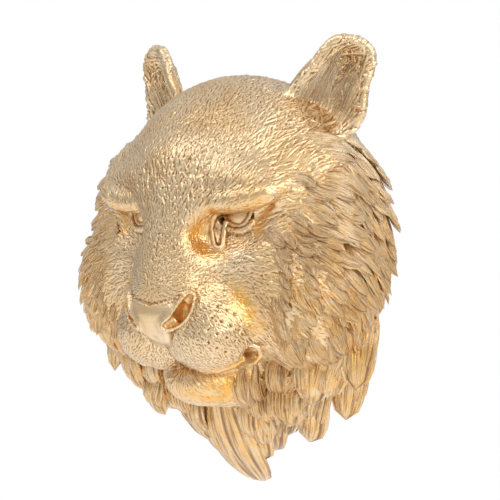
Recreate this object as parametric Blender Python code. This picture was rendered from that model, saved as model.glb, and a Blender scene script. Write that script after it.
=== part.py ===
"""A tiger's head that hangs on a wall, cast in resin as one piece with a flat back.

Metres, +Z up. The wall is the plane y = 0 and the head looks along -Y, so the
tiger's left is +X. The form is worked out in millimetres and scaled when a
mesh is made. The bare head is the same on both sides of the plane x = 0, and
the locks of the ruff are laid along it as closed pieces before all is merged.
"""

import math

import bmesh
import bpy
import numpy as np
from mathutils import Euler, Matrix, Vector

MM = 0.001

# Driving dimensions of the casting, in millimetres.
CROWN_HEIGHT = 142.0
NOSE_REACH = 168.0
RUFF_HALF_WIDTH = 109.0
BEARD_DROP = 168.0
EAR_WALL = 6.0
EAR_CUP = 13.0
KEYHOLE_DEPTH = 8.0

# Edge of the left ear across and up from its middle, in the plane of its rim.
EAR_MIDDLE = (74.0, -57.0, 103.0)
EAR_TALL = (0.232, 0.116, 0.966)
EAR_FACING = (0.479, -0.878, -0.010)
EAR_EDGE = (
    (16, -6), (25, 8), (25, 20), (23, 33), (24, 46), (22, 57), (16, 63), (4, 66),
    (-8, 63), (-15, 56), (-20, 42), (-26, 29), (-33, 15), (-37, 1), (-26, -10), (-2, -12),
)

# Lines of the left eye, nostril and mouth corner, each a run of points.
BROW_EDGE = (
    (26, -130, 47), (34, -128, 47.5), (45, -124.5, 48.8), (57, -121, 50.8), (67, -117.5, 53.5),
    (77, -112, 58.5),
)
BROW_RADII = (5.0, 6.4, 6.4, 6.0, 5.0, 4.0)
NOSTRIL = (
    (26.0, -155.0, -17.0), (25.0, -158.5, -23.0), (22.5, -160.0, -28.5),
    (18.5, -161.8, -34.0), (13.5, -163.5, -39.0),
)
NOSTRIL_RADII = (2.6, 3.7, 4.3, 4.4, 3.8)
MOUTH_RIM = (
    (45, -118.5, -54.5), (51, -116.5, -53.5), (55.5, -114, -57), (55, -114, -62.5),
    (49.5, -117, -67),
)
MOUTH_RIM_RADII = (1.5, 2.2, 2.4, 2.4, 1.6)

# Rows of the ruff: angle off the forward axis, lock length, width, lift of the tip.
RUFF_ROWS = (
    (53, 36, 18, 5.0), (65, 42, 21, 6.5), (76, 46, 23, 8.0), (87, 46, 24, 8.5),
    (97, 42, 22, 7.0),
)

# Where the skin slopes down more than this a lock leaves it, and hangs on downward,
# but not beside the chin.
UNDERSIDE = -0.45
CHIN_SIDE = 148.0
HANG_DOWN = (0.0, 0.04, -0.35)

# Locks that hang free below: root, tip, width and thickness.
HANGING = (
    ((82, -26, -48), (71, -22, -116), 26, 10),
    ((60, -44, -72), (40, -24, -135), 26, 11),
    ((68, -40, -64), (50, -34, -112), 22, 9),
    ((34, -60, -90), (12, -30, -143), 24, 11),
    ((50, -58, -80), (28, -38, -130), 22, 10),
    ((64, -62, -74), (46, -52, -106), 22, 9),
    ((30, -78, -92), (24, -60, -134), 24, 10),
    ((22, -70, -96), (16, -48, -147), 24, 10),
    ((38, -82, -86), (34, -66, -118), 22, 9),
    ((57, -76, -76), (50, -68, -112), 24, 9),
    ((104, -58, -24), (110, -72, -86), 27, 9),
    ((95, -70, -38), (88, -74, -94), 27, 9),
    ((82, -78, -52), (76, -78, -98), 25, 9),
    ((64, -84, -62), (52, -78, -101), 24, 9),
)

# Finish of the casting.
GOLD = (0.80, 0.60, 0.31, 1.0)
GOLD_ROUGHNESS = 0.3

# How finely the solid is made.
NET_STEP = 2.4
VOXEL = 1.4
SOLID_TRIANGLES = 9700


def clear_scene():
    """Removes whatever the startup scene holds."""
    for obj in list(bpy.data.objects):
        bpy.data.objects.remove(obj, do_unlink=True)


# Distance fields. Each takes an (n, 3) array of points and returns n distances.

def length(v):
    """Length of each row of v."""
    return np.sqrt(np.einsum("ij,ij->i", v, v))


def unit(v):
    """Each row of v at length 1."""
    return v / np.maximum(length(v), 1e-9)[:, None]


def ellipsoid(p, centre, radii, turn=(0, 0, 0)):
    """Near distance to an ellipsoid, turned by degrees about X, Y and Z."""
    local = p - np.array(centre, float)
    if any(turn):
        local = local @ np.array(Euler([math.radians(a) for a in turn]).to_matrix())
    radii = np.array(radii, float)
    reach = length(local / radii)
    slope = np.maximum(length(local / radii**2), 1e-9)
    return reach * (reach - 1.0) / slope


def capsule(p, start, end, start_radius, end_radius):
    """Distance to a round bar that runs from start to end and changes its radius."""
    start, end = np.array(start, float), np.array(end, float)
    along = end - start
    share = np.clip((p - start) @ along / (along @ along), 0, 1)
    radius = start_radius + (end_radius - start_radius) * share
    return length(p - start - share[:, None] * along) - radius


def half_space(p, point, normal):
    """Distance beyond a plane through the point."""
    normal = np.array(normal, float)
    return (p - np.array(point, float)) @ (normal / math.sqrt(normal @ normal))


def join(a, b, blend):
    """Smooth union of two fields."""
    h = np.clip(0.5 + 0.5 * (b - a) / blend, 0, 1)
    return b + (a - b) * h - blend * h * (1 - h)


def carve(a, b, blend):
    """Field a with field b taken out of it, with a soft edge."""
    return -join(-a, b, blend)


def common(a, b, blend):
    """What fields a and b share, with a soft edge."""
    return -join(-a, -b, blend)


def folded(p):
    """The points with those of the tiger's right side mirrored to its left."""
    return np.column_stack((np.abs(p[:, 0]), p[:, 1], p[:, 2]))


def skull(q):
    """Cranium, neck, temples, cheeks and throat."""
    field = ellipsoid(q, (0, -56, 38), (95, 88, CROWN_HEIGHT - 40))
    neck = ellipsoid(q, (0, -30, 14), (RUFF_HALF_WIDTH - 6, 64, 112))
    jowl = ellipsoid(q, (72, -82, -14), (50, 40, 56))
    temple = ellipsoid(q, (76, -78, 46), (33, 28, 44))
    throat = capsule(q, (0, -46, -62), (0, -22, 30 - BEARD_DROP), 52, 9)
    mane = capsule(q, (58, -62, -56), (24, -38, -110), 28, 12)
    field = join(field, neck, 22)
    field = join(field, jowl, 26)
    field = join(field, temple, 16)
    return join(join(field, throat, 26), mane, 12)


def muzzle(q):
    """Bridge of the nose, whisker pads, chin and lower jaw."""
    flat = (0.80, 1, 1)
    bridge = capsule(q * flat, (0, -118, 68), (0, 26 - NOSE_REACH, -15), 26, 25)
    core = ellipsoid(q, (0, -104, -34), (47, 48, 38))
    pad = ellipsoid(q, (23, -123, -45), (31, 34, 29))
    field = join(join(bridge, core, 14), pad, 12)
    chin = ellipsoid(q, (0, -101, -83), (27, 30, 18))
    jaw = ellipsoid(q, (20, -76, -82), (24, 30, 20))
    return join(field, join(chin, jaw, 16), 4)


def brow(q):
    """Brow shelf above the eye and the cheekbone below it."""
    shelf = ellipsoid(q, (46, -111, 60), (38, 22, 15), (0, 4, 14))
    bone = ellipsoid(q, (56, -95, 8), (32, 24, 22))
    return join(shelf, bone, 8)


def face(p):
    """The whole head without its ears, fur and small parts."""
    q = folded(p)
    field = join(skull(q), muzzle(q), 18)
    return join(field, brow(q), 12)


def nose(q):
    """The bare wedge of the nose, crisp at its top and along its sides."""
    tip = ellipsoid(q, (0, -134, -31), (40, 35, 26))
    tip = common(tip, half_space(q, (0, -166, -25), (-0.22, -0.15, 1)), 1.5)
    tip = common(tip, half_space(q, (29, -150, -20), (0.84, -0.10, -0.54)), 2)
    wing = ellipsoid(q, (21, -147, -25), (10, 14, 11), (0, 40, 0))
    return join(tip, wing, 3)


def chain(p, spots, radii):
    """Distance to a bent bar that runs through the spots with a radius at each."""
    legs = zip(spots, spots[1:], radii, radii[1:])
    return np.min([capsule(p, a, b, r, s) for a, b, r, s in legs], axis=0)


def eye(q, field):
    """The field with the left eye set in: socket, lids, ball and tear groove."""
    ball = np.array((40.5, -109.5, 36.5))
    socket = ellipsoid(q, (47, -138, 28), (27, 18, 15), (0, -12, 16))
    field = carve(field, socket, 13)
    lids = length(q - ball) - 16.4
    field = join(field, lids, 2.5)
    fold = capsule(q, (29, -121, 38), (26, -129, 20), 4.4, 3.4)
    field = join(field, fold, 3)
    slit = ellipsoid(q, (43, -123, 36), (12.5, 16, 8.5), (0, -8, 16))
    slit = common(slit, half_space(q, (42, -120, 42), (-0.22, -0.35, 1)), 1)
    field = carve(field, slit, 1)
    tear = chain(q, ((33.5, -129, 37), (30, -129.5, 28), (32, -130, 18.5)), (2.0, 2.4, 1.6))
    field = carve(field, tear, 1)
    field = join(field, chain(q, BROW_EDGE, BROW_RADII), 5)
    return np.minimum(field, length(q - ball) - 13.6)


def mouth(q, field):
    """The field with the nostrils and the parting and corners of the mouth."""
    field = carve(field, chain(q, NOSTRIL, NOSTRIL_RADII), 1.5)
    parting = capsule(q, (0, -162, -50), (0, -144, -78), 1.2, 5.5)
    field = carve(field, parting, 4)
    lip = capsule(q, (10, -140, -76), (40, -125, -70), 1.0, 2.0)
    field = carve(field, lip, 4)
    field = join(field, chain(q, MOUTH_RIM, MOUTH_RIM_RADII), 2)
    corner = capsule(q, (50, -117, -59.5), (40, -122, -68), 4.4, 1.6)
    return carve(field, corner, 1.6)


def head(p):
    """The bare head with its eyes, nose and mouth."""
    q = folded(p)
    field = join(face(p), nose(q), 1.5)
    furrow = capsule(q, (29.4, -142, 66), (30, -144, 54), 1.9, 1.4)
    field = carve(eye(q, field), furrow, 2)
    return mouth(q, field)


def gradient(field, p, step=0.4):
    """Outward normals of a field at the points p."""
    base = field(p)
    slopes = [field(p + step * axis) - base for axis in np.eye(3)]
    return unit(np.column_stack(slopes))


def settle(field, p, rounds=3):
    """The points moved on to the field's surface."""
    for _ in range(rounds):
        p = p - gradient(field, p) * field(p)[:, None]
    return p


def sample(field, low, counts, step):
    """The field at every node of a grid."""
    axes = [low[i] + step * np.arange(counts[i]) for i in range(3)]
    slabs = []
    for x in axes[0]:
        across, up = np.meshgrid(axes[1], axes[2], indexing="ij")
        nodes = np.column_stack((np.full(across.size, x), across.ravel(), up.ravel()))
        slabs.append(field(nodes).reshape(counts[1], counts[2]))
    return np.array(slabs)


def surface_net(field, low, high, step):
    """Points and four-sided faces of the skin where the field is zero."""
    low = np.array(low, float)
    counts = np.ceil((np.array(high) - low) / step).astype(int) + 1
    values = sample(field, low, counts, step)
    cells = counts - 1
    total = np.zeros((*cells, 3))
    number = np.zeros(cells)
    crossings = []
    for axis in range(3):
        ahead = np.moveaxis(values, axis, 0)
        a, b = ahead[:-1], ahead[1:]
        crossed = (a < 0) != (b < 0)
        share = np.where(crossed, a / np.where(crossed, a - b, 1), 0)
        place = np.stack(np.meshgrid(*[np.arange(n) for n in a.shape], indexing="ij"), -1)
        place = place.astype(float)
        place[..., 0] += share
        rest = [i for i in range(3) if i != axis]
        order = [axis] + rest
        for j in (0, 1):
            for k in (0, 1):
                block = (slice(None), slice(j, j + cells[rest[0]]), slice(k, k + cells[rest[1]]))
                hit = np.moveaxis(crossed[block], 0, axis)
                spot = np.moveaxis(place[block], 0, axis)
                spot = spot[..., [order.index(i) for i in range(3)]]
                total += spot * hit[..., None]
                number += hit
        crossings.append((crossed, a < 0, rest))
    active = number > 0
    index = np.full(cells, -1)
    index[active] = np.arange(active.sum())
    points = low + step * total[active] / number[active][:, None]
    faces = []
    for axis, (crossed, inner, rest) in enumerate(crossings):
        ahead = np.moveaxis(index, axis, 0)
        i, j, k = np.nonzero(crossed[:, 1:-1, 1:-1])
        quads = np.column_stack((ahead[i, j, k], ahead[i, j + 1, k],
                                 ahead[i, j + 1, k + 1], ahead[i, j, k + 1]))
        flip = inner[:, 1:-1, 1:-1][i, j, k] == (axis == 1)
        quads[flip] = quads[flip][:, ::-1]
        faces.append(quads)
    return points, np.concatenate(faces)


def mesh_object(name, points, faces):
    """A mesh object from points in millimetres."""
    mesh = bpy.data.meshes.new(name)
    mesh.from_pydata((np.asarray(points) * MM).tolist(), [], [list(f) for f in faces])
    mesh.update()
    obj = bpy.data.objects.new(name, mesh)
    bpy.context.scene.collection.objects.link(obj)
    return obj


def make_core():
    """The bare head as one closed skin that runs on behind the wall."""
    points, faces = surface_net(head, (-132, -178, -172), (132, 72, 152), NET_STEP)
    return mesh_object("core", settle(head, points, 2), faces)


def ear_edge(spokes):
    """A smooth closed run of points through the ear's edge."""
    knots = np.array(EAR_EDGE, float)
    count = len(knots)
    places = np.arange(spokes) * count / spokes
    whole = places.astype(int)
    t = (places - whole)[:, None]
    a, b, c, d = [knots[(whole + i) % count] for i in (-1, 0, 1, 2)]
    curve = 2 * b + (c - a) * t + (2 * a - 5 * b + 4 * c - d) * t**2
    return (curve + (3 * b - 3 * c + d - a) * t**3) / 2


def ear_mesh(rings, spokes):
    """Points and faces of the left ear: a cup with a thick rim, closed behind."""
    tall, facing = unit(np.array([EAR_TALL, EAR_FACING]))
    wide = np.cross(tall, facing)
    wide = wide if wide[0] > 0 else -wide
    edge = ear_edge(spokes)
    centre = np.array((0.0, 26.0))
    points, faces = [], []
    for side in (1, -1):
        for ring in range(1, rings + (side > 0)):
            share = 1 - (1 - ring / rings) ** 1.5
            wall = 0 if side > 0 else EAR_WALL * math.sqrt(1 - share**14)
            depth = -EAR_CUP * (1 - min(share / 0.92, 1) ** 2.4) - wall
            for across, up in centre + (edge - centre) * share:
                points.append(EAR_MIDDLE + wide * across + tall * up + facing * depth)
        depth = -EAR_CUP - (EAR_WALL if side < 0 else 0)
        points.append(EAR_MIDDLE + tall * centre[1] + facing * depth)
    front_pole = rings * spokes
    back_pole = front_pole + 1 + (rings - 1) * spokes

    def row(side, ring):
        start = (ring - 1) * spokes
        if side < 0 and ring < rings:
            start += front_pole + 1
        return [start + spoke for spoke in range(spokes)]

    for side, pole in ((1, front_pole), (-1, back_pole)):
        near = row(side, 1)
        for spoke in range(spokes):
            after = (spoke + 1) % spokes
            faces.append((pole, near[spoke], near[after])[::side])
            for ring in range(1, rings):
                inner, outer = row(side, ring), row(side, ring + 1)
                faces.append((inner[spoke], outer[spoke], outer[after], inner[after])[::side])
    return np.array(points), faces


def make_ears():
    """Both ears."""
    points, faces = ear_mesh(9, 32)
    left = mesh_object("ear_left", points, faces)
    right = mesh_object("ear_right", points * (-1, 1, 1), [f[::-1] for f in faces])
    return [left, right]


def lock_flow(p, normal):
    """The way locks lie at the points p, along the surface."""
    depth = -p[:, 1]
    drop = np.clip((110 - p[:, 2]) / 220, 0.1, 1)
    spread = unit(np.column_stack((p[:, 0], 0 * depth, p[:, 2] + 8)))
    way = 0.45 * spread
    way[:, 1] += 0.75 * np.clip((depth - 12) / 50, 0, 1)
    way[:, 2] -= 0.35 + 0.85 * drop
    return unit(way - normal * np.einsum("ij,ij->i", way, normal)[:, None])


def ruff_roots():
    """Root directions, lengths, widths and lifts of the locks of the ruff."""
    turn = []
    for row, (tilt, reach, width, lift) in enumerate(RUFF_ROWS):
        around = 44 + 5 * (row % 2)
        while around < 180:
            low = around / 180
            size = 0.85 + 0.3 * low
            wave = math.sin(7.3 * row + 3.1 * around)
            flare = 1 + max(0, 0.9 - 0.3 * row) * math.exp(-(((around - 72) / 22) ** 2))
            drop = 1 + 0.4 * low**3
            turn.append((around, tilt + 3 * wave, reach * size * drop, width * size, lift * flare))
            around += math.degrees(0.78 * width * size / 104) + 0.8 * wave
    return np.array(turn)


def ruff_paths(stations):
    """Paths of the left side's locks on the head's skin, with their normals."""
    turn = ruff_roots()
    around, tilt = np.radians(turn[:, 0]), np.radians(turn[:, 1])
    ways = np.column_stack((np.sin(tilt) * np.sin(around), -np.cos(tilt),
                            np.sin(tilt) * np.cos(around)))
    reach = np.full(len(turn), 230.0)
    for _ in range(60):
        reach -= np.clip(face(np.array((0, -30, -8)) + ways * reach[:, None]), -4, 40) * 0.7
    spot = np.array((0, -30, -8)) + ways * reach[:, None]
    steps = turn[:, 2] / (stations - 1)
    path, normals = [], []
    normal = gradient(face, spot)
    flow = lock_flow(spot, normal)
    above = (normal[:, 2] > -0.3) & (turn[:, 0] < CHIN_SIDE)
    hung = np.zeros(len(turn), bool)
    for _ in range(stations):
        hung |= above & (gradient(face, spot)[:, 2] < UNDERSIDE)
        loose = hung[:, None]
        spot = np.where(loose, spot, settle(face, spot, 2))
        normal = np.where(loose, normal, gradient(face, spot))
        flow = np.where(loose, unit(flow + HANG_DOWN), lock_flow(spot, normal))
        path.append(spot)
        normals.append(normal)
        spot = spot + flow * steps[:, None]
    return turn, np.array(path), np.array(normals)


def lock_piece(path, normals, width, thickness, lift, keel=5.0):
    """Points and faces of one closed lock: a leaf that ends in a point."""
    count = len(path)
    share = np.linspace(0, 1, count)
    along = unit(np.gradient(path, axis=0))
    side = unit(np.cross(along, normals))
    half = width / 2 * (1 - 0.45 * np.clip(0.4 - share, 0, 1)) * (1 - share**3.2)
    raised = (lift + 3.5) * share - 3.5
    deep = keel * (1 - 0.6 * share) + 1.0
    points = []
    for i in range(count - 1):
        ridge = thickness * (0.5 + 0.5 * math.sin(math.pi * min(1, share[i] * 1.1)))
        base = path[i] + normals[i] * raised[i]
        for across, up in ((-1, -0.1), (-0.6, 0.6), (0.1, 0.9), (0.7, 0.6), (1, -0.1)):
            points.append(base + side[i] * half[i] * across + normals[i] * ridge * up)
        points.append(base - normals[i] * (deep[i] + ridge * 0.2))
    points.append(path[-1] + normals[-1] * (raised[-1] - 0.5))
    ring = 6
    faces = [list(range(ring))[::-1]]
    for i in range(count - 2):
        for j in range(ring):
            a, b = i * ring + j, i * ring + (j + 1) % ring
            faces.append((a, b, b + ring, a + ring))
    last = (count - 2) * ring
    faces += [(last + j, last + (j + 1) % ring, last + ring) for j in range(ring)]
    return np.array(points), faces


def hanging_lock(root, tip, width, thickness, stations, bow=6.0):
    """One lock that hangs free, bowed a little away from the head."""
    share = np.linspace(0, 1, stations)[:, None]
    root, tip = np.array(root, float), np.array(tip, float)
    away = unit(np.array([[root[0], -70.0, -40.0]]))[0]
    path = root + (tip - root) * share + away * bow * np.sin(math.pi * share)
    along = unit(np.gradient(path, axis=0))
    normals = away - along * (along @ away)[:, None]
    return lock_piece(path, unit(normals), width, thickness, 0, 7)


def make_locks():
    """The ruff and the locks that hang below it, both sides, as one object."""
    pieces = []
    turn, path, normals = ruff_paths(7)
    for i, (_, _, reach, width, lift) in enumerate(turn):
        pieces.append(lock_piece(path[:, i], normals[:, i], width, width * 0.28, lift))
    for root, tip, width, thickness in HANGING:
        pieces.append(hanging_lock(root, tip, width, thickness, 8))
    beard = hanging_lock((0, -84, -94), (0, -27, -BEARD_DROP), 34, 12, 9, 4)
    points, faces, start = [], [], 0
    for flip, group in ((1, pieces), (-1, pieces), (1, [beard])):
        for spots, sides in group:
            points.append(spots * (flip, 1, 1))
            faces += [tuple(start + i for i in side)[::flip] for side in sides]
            start += len(spots)
    return mesh_object("locks", np.concatenate(points), faces)


def apply_modifier(obj, kind, **settings):
    """Adds a modifier with the settings given and makes it permanent."""
    modifier = obj.modifiers.new(kind.title(), kind)
    for key, value in settings.items():
        setattr(modifier, key, value)
    graph = bpy.context.evaluated_depsgraph_get()
    mesh = bpy.data.meshes.new_from_object(obj.evaluated_get(graph))
    obj.modifiers.clear()
    obj.data = mesh


def merge(objects):
    """One object that holds the faces of all the objects."""
    work = bmesh.new()
    for obj in objects:
        work.from_mesh(obj.data)
        bpy.data.objects.remove(obj, do_unlink=True)
    mesh = bpy.data.meshes.new("tiger_head")
    work.to_mesh(mesh)
    work.free()
    whole = bpy.data.objects.new("tiger_head", mesh)
    bpy.context.scene.collection.objects.link(whole)
    return whole


def keep_largest(obj):
    """Drops every loose part of the mesh but the one with the most points."""
    work = bmesh.new()
    work.from_mesh(obj.data)
    unseen, best = set(work.verts), []
    while unseen:
        island, edge = [], [unseen.pop()]
        while edge:
            vert = edge.pop()
            island.append(vert)
            near = {e.other_vert(vert) for e in vert.link_edges} & unseen
            unseen -= near
            edge.extend(near)
        best = max(best, island, key=len)
    kept = set(best)
    bmesh.ops.delete(work, geom=[v for v in work.verts if v not in kept], context="VERTS")
    bmesh.ops.recalc_face_normals(work, faces=work.faces)
    work.to_mesh(obj.data)
    work.free()


def drop_flaps(obj):
    """Drops faces that stand on an edge which two others already share."""
    work = bmesh.new()
    work.from_mesh(obj.data)
    flaps = [face for face in work.faces
             if any(len(edge.link_faces) > 2 for edge in face.edges)
             and any(len(edge.link_faces) == 1 for edge in face.edges)]
    bmesh.ops.delete(work, geom=flaps, context="FACES")
    work.to_mesh(obj.data)
    work.free()


def cutter(name, points, faces):
    """A closed mesh that is only there to be taken away."""
    obj = mesh_object(name, points, faces)
    obj.hide_render = True
    obj.display_type = "WIRE"
    return obj


def prism(outline, near, far):
    """Points and faces of an outline in x and z, drawn out from one depth to another."""
    count = len(outline)
    points = [(x, y, z) for y in (near, far) for x, z in outline]
    faces = [list(range(count)), list(range(count, 2 * count))[::-1]]
    for i in range(count):
        after = (i + 1) % count
        faces.append((i, i + count, after + count, after))
    return points, faces


def keyhole_outline():
    """Round entry with a narrower slot above it, for a screw's head in the wall."""
    entry = [(5.5 * math.sin(math.radians(a)), 5.5 * math.cos(math.radians(a)))
             for a in range(30, 331, 30)]
    slot = [(2.75 * math.sin(math.radians(a)), 14 + 2.75 * math.cos(math.radians(a)))
            for a in range(-90, 91, 30)]
    return [(x, z + 46) for x, z in reversed(entry + slot)]


def make_solid():
    """The casting as one closed body with its flat back and its hanging keyhole."""
    whole = merge([make_core(), make_locks(), *make_ears()])
    apply_modifier(whole, "REMESH", mode="VOXEL", voxel_size=VOXEL * MM)
    keep_largest(whole)
    apply_modifier(whole, "DECIMATE", ratio=0.3)
    box = [(-200, -250), (200, -250), (200, 250), (-200, 250)]
    wall = cutter("wall_cut", *prism(box, 0, 200))
    hole = cutter("keyhole_cut", *prism(keyhole_outline(), -KEYHOLE_DEPTH, 20))
    apply_modifier(whole, "BOOLEAN", object=wall, operation="DIFFERENCE", solver="EXACT")
    apply_modifier(whole, "TRIANGULATE")
    share = SOLID_TRIANGLES / len(whole.data.polygons)
    apply_modifier(whole, "DECIMATE", ratio=min(1, share))
    apply_modifier(whole, "BOOLEAN", object=hole, operation="DIFFERENCE", solver="EXACT")
    drop_flaps(whole)
    for obj in (wall, hole):
        bpy.data.objects.remove(obj, do_unlink=True)
    return whole


def gold():
    """Gold paint on the casting."""
    material = bpy.data.materials.new("gold_paint")
    material.use_nodes = True
    shader = material.node_tree.nodes["Principled BSDF"]
    shader.inputs["Base Color"].default_value = GOLD
    shader.inputs["Metallic"].default_value = 1.0
    shader.inputs["Roughness"].default_value = GOLD_ROUGHNESS
    return material


clear_scene()
head_solid = make_solid()
head_solid.data.materials.clear()
head_solid.data.materials.append(gold())
print("triangles", sum(len(p.vertices) - 2 for p in head_solid.data.polygons))
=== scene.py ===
"""Looks of the tiger's head: skin, fur, ruff, ears, eyes and gold paint.

The bare head is worked out from the same fields as the CAD part, in millimetres,
and scaled when a mesh is made. The wall is the plane y = 0, the head looks along
-Y, and the tiger's left is +X. Fur lies on the skin as strokes of real relief, and
the ruff is made of grooved locks that Geometry Nodes draw along guide lines.
"""

import functools
import math

import bpy
import numpy as np
from mathutils import Euler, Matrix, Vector
from mathutils.kdtree import KDTree


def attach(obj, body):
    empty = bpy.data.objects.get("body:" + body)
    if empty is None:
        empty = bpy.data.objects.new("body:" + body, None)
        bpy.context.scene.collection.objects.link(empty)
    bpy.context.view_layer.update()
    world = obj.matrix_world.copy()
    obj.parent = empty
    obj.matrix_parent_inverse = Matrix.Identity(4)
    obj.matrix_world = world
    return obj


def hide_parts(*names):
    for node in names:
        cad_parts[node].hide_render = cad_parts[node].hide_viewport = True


MM = 0.001

# The gold paint: in hollows, where its brown is painted shade with some of the paint's patina,
# on crests, in warmer patches, and round the eyes and mouth, where its amber is partly painted
# shade.
# White is for the room.
SHADE_AND_PATINA_GOLD = (0.36, 0.18, 0.055, 1)
CREST_GOLD = (0.83, 0.64, 0.40, 1)
WARM_GOLD = (0.78, 0.52, 0.25, 1)
AMBER = (0.84, 0.45, 0.10, 1)
WHITE = (1, 1, 1, 1)

# The CAD part's own sizes, in millimetres.
CROWN_HEIGHT = 142.0
NOSE_REACH = 168.0
RUFF_HALF_WIDTH = 109.0
BEARD_DROP = 168.0
EAR_WALL = 6.0
EAR_CUP = 13.0
EAR_MIDDLE = (74.0, -57.0, 103.0)
EAR_TALL = (0.232, 0.116, 0.966)
EAR_FACING = (0.479, -0.878, -0.010)
EAR_EDGE = (
    (16, -6), (25, 8), (25, 20), (23, 33), (24, 46), (22, 57), (16, 63), (4, 66),
    (-8, 63), (-15, 56), (-20, 42), (-26, 29), (-33, 15), (-37, 1), (-26, -10), (-2, -12),
)
EYE = (40.5, -109.5, 36.5)
EYE_RADIUS = 13.6

# The middle of the head, from which places on it are told by their angles.
MIDDLE = (0, -30, -8)

# The keyhole in the back, in metres: half its width, its depth, where it lies and half
# its height.
KEYHOLE = (0.008, -0.0085, 0.052, 0.014)

# Lines of the left eye, nostril and mouth corner, each a run of points, and their radii.
LOWER_LID = (
    (31.6, -120.5, 36.5), (35.5, -122.2, 32.5), (40, -122.5, 30.3), (44.5, -121.6, 29.7),
    (48.7, -120.2, 32), (51.2, -118.8, 36.5), (52.5, -117.8, 41),
)
UNDER_LID = (
    (36.7, -123.6, 27.5), (42.3, -123, 26.3), (47.4, -121.8, 26.5), (52.3, -120, 29.5),
    (55.6, -119.7, 35), (58.4, -120.6, 40.6),
)
TEAR_RIM = (
    (35.5, -131.5, 40), (32, -132.3, 38), (28.7, -131.5, 34.2), (26.6, -130, 27.1),
    (28.4, -131, 20.1), (30.6, -131.5, 15.6), (34.1, -131, 14), (35.4, -128.8, 16.6),
    (34.4, -126.6, 21.4), (34.2, -125.4, 27.1), (34.5, -124, 32.5),
)
BROW_EDGE = (
    (27.5, -134, 46.5), (36, -134, 46.5), (47, -131.5, 47.8), (59, -128.5, 50),
    (69, -124.5, 53), (78, -115, 58),
)
BROW_RADII = (5.6, 7.6, 8.8, 9.0, 7.4, 4.4)
WRINKLES = (
    ((8, -149, 67), (6, -153, 55)), ((17.5, -146, 67), (14.5, -151, 56)),
    ((23.5, -143, 70), (22.5, -147, 60)), ((12, -152, 52), (9, -155, 43)),
)
OUTER_VALLEY = ((57, -122, 34), (62, -121, 40), (69, -119, 45.5))
NOSTRIL = (
    (28.0, -157.5, -19.0), (26.2, -160.0, -24.0), (23.6, -161.3, -29.6),
    (19.0, -163.0, -34.8), (13.4, -165.0, -38.6),
)
NOSTRIL_RADII = (2.2, 3.8, 4.8, 4.2, 2.6)
MOUTH_RIM = (
    (46, -124, -54.0), (52.2, -121, -53.2), (57, -115.5, -55.8), (57.6, -113.9, -60.5),
    (53, -115, -66.5),
)
MOUTH_RIM_RADII = (1.2, 1.8, 2.1, 2.1, 1.4)
LID_RADIUS = 1.5
UNDER_LID_RADIUS = 2.2
RIM_RADIUS = 1.9

# Rows of whisker pits on the left pad: first and last spot, and how many.
WHISKER_ROWS = (
    ((40.6, -141.8, -25.4), (49.3, -133.7, -31.1), 3),
    ((40.1, -148.2, -33.4), (52.5, -133.3, -42.2), 4),
    ((39.2, -151.7, -41.6), (51.1, -136.2, -49.7), 4),
    ((39.0, -151.4, -50.6), (46.3, -140.2, -57.4), 3),
)

# Rows of the ruff's locks, finer than the CAD part's: angle off the forward axis, where
# round the head the row starts, lock length, width, lift of the tip.
RUFF_ROWS = (
    (40, 62, 20, 9, 0.8), (46, 54, 23, 10, 1.4), (52, 48, 27, 11, 2.2), (58, 46, 30, 12, 3.4),
    (64, 44, 34, 13, 4.8), (70, 46, 38, 14, 6.0), (77, 44, 40, 15, 7.2), (84, 46, 42, 16, 8.0),
    (91, 44, 40, 16, 7.6), (98, 46, 34, 15, 5.5),
)

# Where the skin slopes down more than this a lock leaves it, and hangs on downward,
# but not beside the chin.
UNDERSIDE = -0.45
CHIN_SIDE = 148.0
HANG_DOWN = (0.0, 0.04, -0.35)

# Locks that hang free below: root, tip and width.
HANGING = (
    ((82, -26, -48), (71, -22, -116), 26),
    ((60, -44, -72), (40, -24, -135), 26),
    ((68, -40, -64), (50, -34, -112), 22),
    ((34, -60, -90), (12, -30, -143), 24),
    ((50, -58, -80), (28, -38, -130), 22),
    ((64, -62, -74), (46, -52, -106), 22),
    ((30, -78, -92), (24, -60, -134), 24),
    ((22, -70, -96), (16, -48, -147), 24),
    ((38, -82, -86), (34, -66, -118), 22),
    ((57, -76, -76), (50, -68, -112), 24),
    ((104, -58, -24), (110, -72, -86), 27),
    ((95, -70, -38), (88, -74, -94), 27),
    ((82, -78, -52), (76, -78, -98), 25),
    ((64, -84, -62), (52, -78, -101), 24),
)

# One more beside the chin, finer than the CAD part has.
SIDE_CURL = ((60, -80, -78), (57, -76, -116), 22)

# Points along each lock's guide line, and how near the wall a lock may come, in metres.
STATIONS = 9
WALL_GAP = -0.0003

# How finely the skin is made: the net's step, how near the skin the field is worked out
# at each step, and how many steps apart it is elsewhere.
NET_STEP = 1.25
BAND = 7.0
COARSE = 5

# Fur: how far apart its strokes start, how far they turn aside, and their height.
STROKE_SPACING = 1.35
STROKE_TURN = 0.34
STROKE_HEIGHT = 0.80

# The photograph's view: metres across the picture, and the camera's distance and target.
PICTURE_SPAN = 0.000755 * 500
SENSOR = 36
DISTANCE = 1.3
TARGET = (0, -0.045, 0.010)

# Square lights that point at the head: name, place, size and power.
LIGHTS = (
    ("key", (-0.4, -1.3, 1.5), 1.0, 6),
    ("fill", (1.8, -0.5, 0.9), 1.5, 17),
    ("rim", (0.9, 0.6, 1.2), 0.6, 3),
)


def ramp(value, low, high):
    """Smooth step from 0 at low to 1 at high."""
    share = np.clip((value - low) / (high - low), 0, 1)
    return share * share * (3 - 2 * share)


# Distance fields. Each takes an (n, 3) array of points and returns n distances.

def dot(a, b):
    """Dot product of each row of a with the same row of b."""
    return np.einsum("ij,ij->i", a, b)


def length(v):
    """Length of each row of v."""
    return np.sqrt(dot(v, v))


def unit(v):
    """Each row of v at length 1."""
    return v / np.maximum(length(v), 1e-9)[:, None]


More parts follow.
